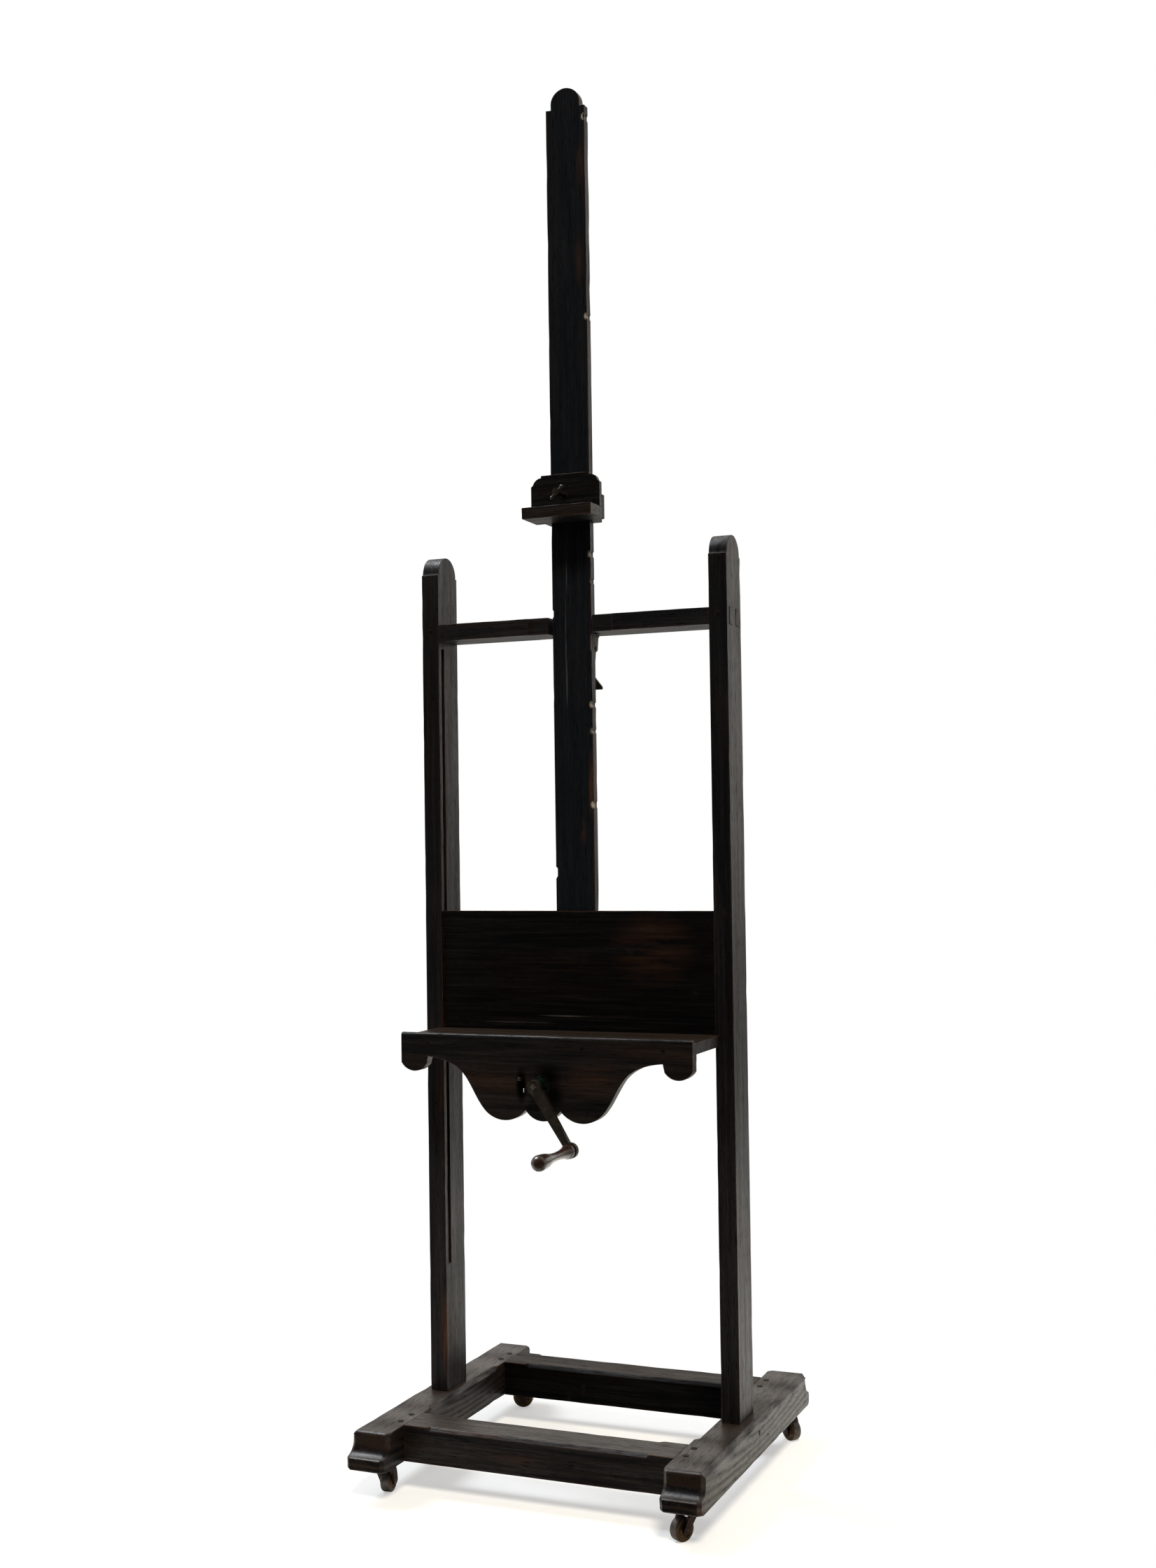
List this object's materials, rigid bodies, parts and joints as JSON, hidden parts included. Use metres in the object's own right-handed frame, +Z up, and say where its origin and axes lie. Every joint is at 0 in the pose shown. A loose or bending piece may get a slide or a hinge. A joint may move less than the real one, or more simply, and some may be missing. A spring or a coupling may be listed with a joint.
{
  "type": "h frame easel",
  "caption": "Dark oak H-frame studio easel with a cranked canvas shelf, a tall sliding mast with a canvas holder, and a castered base.",
  "frame": {"origin": "on the floor at the middle of the easel, halfway between the tip of the crank handle and the rear toes of the feet", "axes": "+Z up, -Y towards the painter who stands at the crank, +X to the painter's right"},
  "size_m": [0.6512, 0.7, 2.5369],
  "materials": {
    "ebonised_oak": "ebonised, worn wax polish",
    "turned_hardwood": "turned, glossy dark stain",
    "wood_pegs": "end grain, dark stain",
    "dark_iron": "browned, worn",
    "steel": "dull, handled",
    "brass": "tarnished",
    "cord": "twisted hemp"
  },
  "bodies": {
    "frame": {"left_foot": "ebonised_oak", "right_foot": "ebonised_oak", "front_cross_rail": "ebonised_oak", "rear_cross_rail": "ebonised_oak", "base_pegs": "wood_pegs", "post_pegs": "wood_pegs", "left_post": "ebonised_oak", "right_post": "ebonised_oak", "top_rail": "ebonised_oak", "rail_pegs": "wood_pegs", "pawl_bracket": "dark_iron", "pawl_bracket_screws": "steel", "pawl_hinge_pin": "steel", "cord_hook": "dark_iron", "lifting_cord": "cord", "caster_plates": "dark_iron", "caster_screws": "steel"},
    "carriage": {"panel": "ebonised_oak", "shelf": "ebonised_oak", "apron": "ebonised_oak", "shelf_brackets": "ebonised_oak", "shelf_screws": "steel", "apron_screws": "steel", "mast": "ebonised_oak", "rack_strip": "dark_iron", "rack_screws": "steel", "mast_screws": "steel", "front_bearing": "dark_iron", "front_bearing_screws": "steel", "rear_bearing": "dark_iron", "rear_bearing_screws": "steel", "crank_pawl_stud": "steel"},
    "crank": {"crank_shaft": "steel", "crank_arm": "dark_iron", "grip_spindle": "steel", "ratchet_wheel": "dark_iron", "cord_drum": "dark_iron"},
    "grip": {"crank_grip": "turned_hardwood"},
    "crank_catch": {"crank_pawl": "dark_iron", "crank_pawl_pin": "steel"},
    "mast_catch": {"mast_pawl": "dark_iron"},
    "holder": {"holder_plate": "ebonised_oak", "holder_lip": "ebonised_oak", "holder_saddle": "ebonised_oak", "holder_back": "ebonised_oak", "holder_screws": "steel"},
    "clamp_screw": {"thumbscrew": "steel", "tommy_bar": "steel"},
    "caster_fl": {"caster_fork_fl": "dark_iron", "caster_axle_fl": "steel"},
    "wheel_fl": {"caster_wheel_fl": "brass"},
    "caster_fr": {"caster_fork_fr": "dark_iron", "caster_axle_fr": "steel"},
    "wheel_fr": {"caster_wheel_fr": "brass"},
    "caster_rl": {"caster_fork_rl": "dark_iron", "caster_axle_rl": "steel"},
    "wheel_rl": {"caster_wheel_rl": "brass"},
    "caster_rr": {"caster_fork_rr": "dark_iron", "caster_axle_rr": "steel"},
    "wheel_rr": {"caster_wheel_rr": "brass"}
  },
  "joints": [
    {"name": "carriage_slide", "type": "slide", "parent": "frame", "child": "carriage", "axis": [0, 0, 1], "range_m": [-0.12, 0.48], "deforming": ["lifting_cord"]},
    {"name": "crank_turn", "type": "hinge", "parent": "carriage", "child": "crank", "pos_m": [0, -0.194, 0.722], "axis": [0, -1, 0], "continuous": true},
    {"name": "grip_spin", "type": "hinge", "parent": "crank", "child": "grip", "pos_m": [0.066, -0.26, 0.616], "axis": [0, -1, 0], "continuous": true},
    {"name": "crank_catch_tilt", "type": "hinge", "parent": "carriage", "child": "crank_catch", "pos_m": [-0.08, -0.131, 0.72], "axis": [0, 1, 0], "range_deg": [0, 28]},
    {"name": "mast_catch_tilt", "type": "hinge", "parent": "frame", "child": "mast_catch", "pos_m": [0.017, 0.049, 1.502], "axis": [1, 0, 0], "range_deg": [0, 22]},
    {"name": "holder_slide", "type": "slide", "parent": "carriage", "child": "holder", "axis": [0, 0, 1], "range_m": [-0.04, 0.66]},
    {"name": "clamp_screw_turn", "type": "hinge", "parent": "holder", "child": "clamp_screw", "pos_m": [0, -0.04, 1.776], "axis": [0, 1, 0], "range_deg": [-180, 180]},
    {"name": "caster_swivel_fl", "type": "hinge", "parent": "frame", "child": "caster_fl", "pos_m": [-0.285, -0.226, 0.055], "axis": [0, 0, 1], "continuous": true},
    {"name": "wheel_spin_fl", "type": "hinge", "parent": "caster_fl", "child": "wheel_fl", "pos_m": [-0.28674, -0.20608, 0.02], "axis": [-0.9962, -0.0872, 0], "continuous": true},
    {"name": "caster_swivel_fr", "type": "hinge", "parent": "frame", "child": "caster_fr", "pos_m": [0.285, -0.226, 0.055], "axis": [0, 0, 1], "continuous": true},
    {"name": "wheel_spin_fr", "type": "hinge", "parent": "caster_fr", "child": "wheel_fr", "pos_m": [0.275, -0.24332, 0.02], "axis": [0.866, -0.5, 0], "continuous": true},
    {"name": "caster_swivel_rl", "type": "hinge", "parent": "frame", "child": "caster_rl", "pos_m": [-0.285, 0.322, 0.055], "axis": [0, 0, 1], "continuous": true},
    {"name": "wheel_spin_rl", "type": "hinge", "parent": "caster_rl", "child": "wheel_rl", "pos_m": [-0.26551, 0.3265, 0.02], "axis": [-0.225, 0.9744, 0], "continuous": true},
    {"name": "caster_swivel_rr", "type": "hinge", "parent": "frame", "child": "caster_rr", "pos_m": [0.285, 0.322, 0.055], "axis": [0, 0, 1], "continuous": true},
    {"name": "wheel_spin_rr", "type": "hinge", "parent": "caster_rr", "child": "wheel_rr", "pos_m": [0.30138, 0.31053, 0.02], "axis": [0.5736, 0.8192, 0], "continuous": true}
  ],
  "couplings": [
    {"joint": "crank_turn", "follows": "carriage_slide", "rad_per_m": 55.556}
  ]
}
